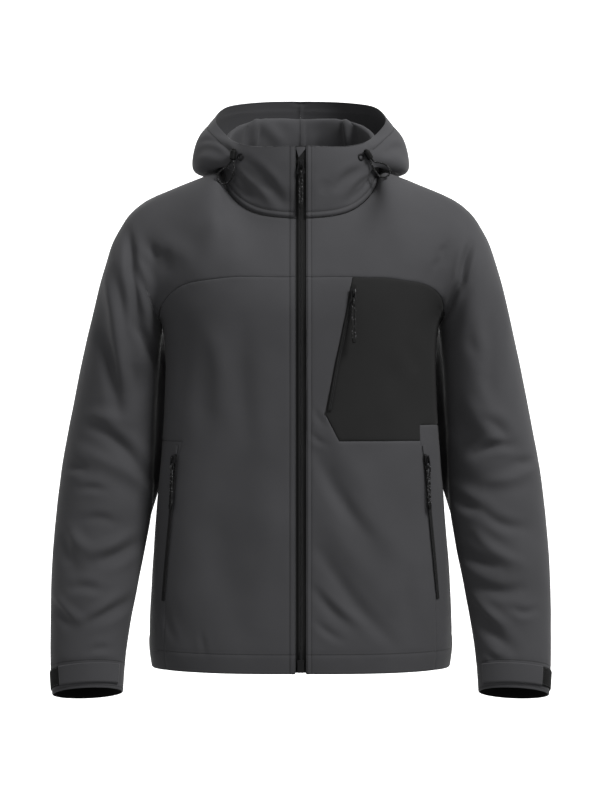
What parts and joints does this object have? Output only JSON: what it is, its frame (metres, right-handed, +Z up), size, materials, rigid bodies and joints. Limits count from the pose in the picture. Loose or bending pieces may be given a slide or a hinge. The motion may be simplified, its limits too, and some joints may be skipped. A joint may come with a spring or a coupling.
{
  "type": "softshell jacket",
  "caption": "Hooded softshell jacket, zipped up and filled out as if worn, with a chest pocket panel, zipped hand pockets, cuff tabs and a drawcord hood.",
  "frame": {"origin": "middle of the neck opening, level with the high points of the shoulders, where the wearer's neck and shoulders hold the jacket", "axes": "+X the wearer's left, -Y the front, +Z up"},
  "size_m": [0.706, 0.3093, 0.8683],
  "materials": {
    "shell": "charcoal softshell cloth, matt with a fine weave",
    "black_shell": "black softshell cloth, matt with a fine weave",
    "tape": "black woven tape",
    "enamel": "black enamel and black plastic, half gloss",
    "cord": "black braided cord with pale flecks"
  },
  "bodies": {
    "jacket": {"front_left": "shell", "front_right": "shell", "side_panel_left": "shell", "side_panel_right": "shell", "yoke_left": "shell", "yoke_right": "shell", "back": "shell", "sleeve_left": "shell", "sleeve_right": "shell", "hood_left": "shell", "hood_right": "shell", "zip_garage": "shell", "hand_garage_left": "shell", "hand_garage_right": "shell", "cuff_strap_left": "shell", "cuff_strap_right": "shell", "pocket_panel": "black_shell", "zip_left": "tape", "zip_right": "tape", "chest_zip": "tape", "hand_zip_left": "tape", "hand_zip_right": "tape", "loop_patch_left": "tape", "loop_patch_right": "tape", "zip_box": "enamel", "eyelet_left": "enamel", "eyelet_right": "enamel", "cord_lock_left": "enamel", "cord_lock_right": "enamel", "main_slider": "enamel", "chest_slider": "enamel", "hand_left_slider": "enamel", "hand_right_slider": "enamel", "drawcord_left": "cord", "drawcord_right": "cord"},
    "main_pull": {"main_pull_tab": "enamel", "main_pull_cord": "cord", "main_pull_end": "enamel"},
    "chest_pull": {"chest_pull_tab": "enamel", "chest_pull_cord": "cord", "chest_pull_end": "enamel"},
    "hand_left_pull": {"hand_left_pull_tab": "enamel", "hand_left_pull_cord": "cord", "hand_left_pull_end": "enamel"},
    "hand_right_pull": {"hand_right_pull_tab": "enamel", "hand_right_pull_cord": "cord", "hand_right_pull_end": "enamel"}
  },
  "joints": [
    {"name": "main_pull_hinge", "type": "hinge", "parent": "jacket", "child": "main_pull", "pos_m": [0, -0.10295, -0.009], "axis": [-1, 0, 0], "range_deg": [0, 150]},
    {"name": "chest_pull_hinge", "type": "hinge", "parent": "jacket", "child": "chest_pull", "pos_m": [0.0722, -0.13411, -0.18838], "axis": [-0.996, -0.0895, 0], "range_deg": [0, 150]},
    {"name": "hand_left_pull_hinge", "type": "hinge", "parent": "jacket", "child": "hand_left_pull", "pos_m": [0.1776, -0.08171, -0.41873], "axis": [-0.7177, -0.6963, 0], "range_deg": [0, 150]},
    {"name": "hand_right_pull_hinge", "type": "hinge", "parent": "jacket", "child": "hand_right_pull", "pos_m": [-0.17945, -0.07974, -0.41872], "axis": [-0.6999, 0.7142, 0], "range_deg": [0, 150]}
  ]
}
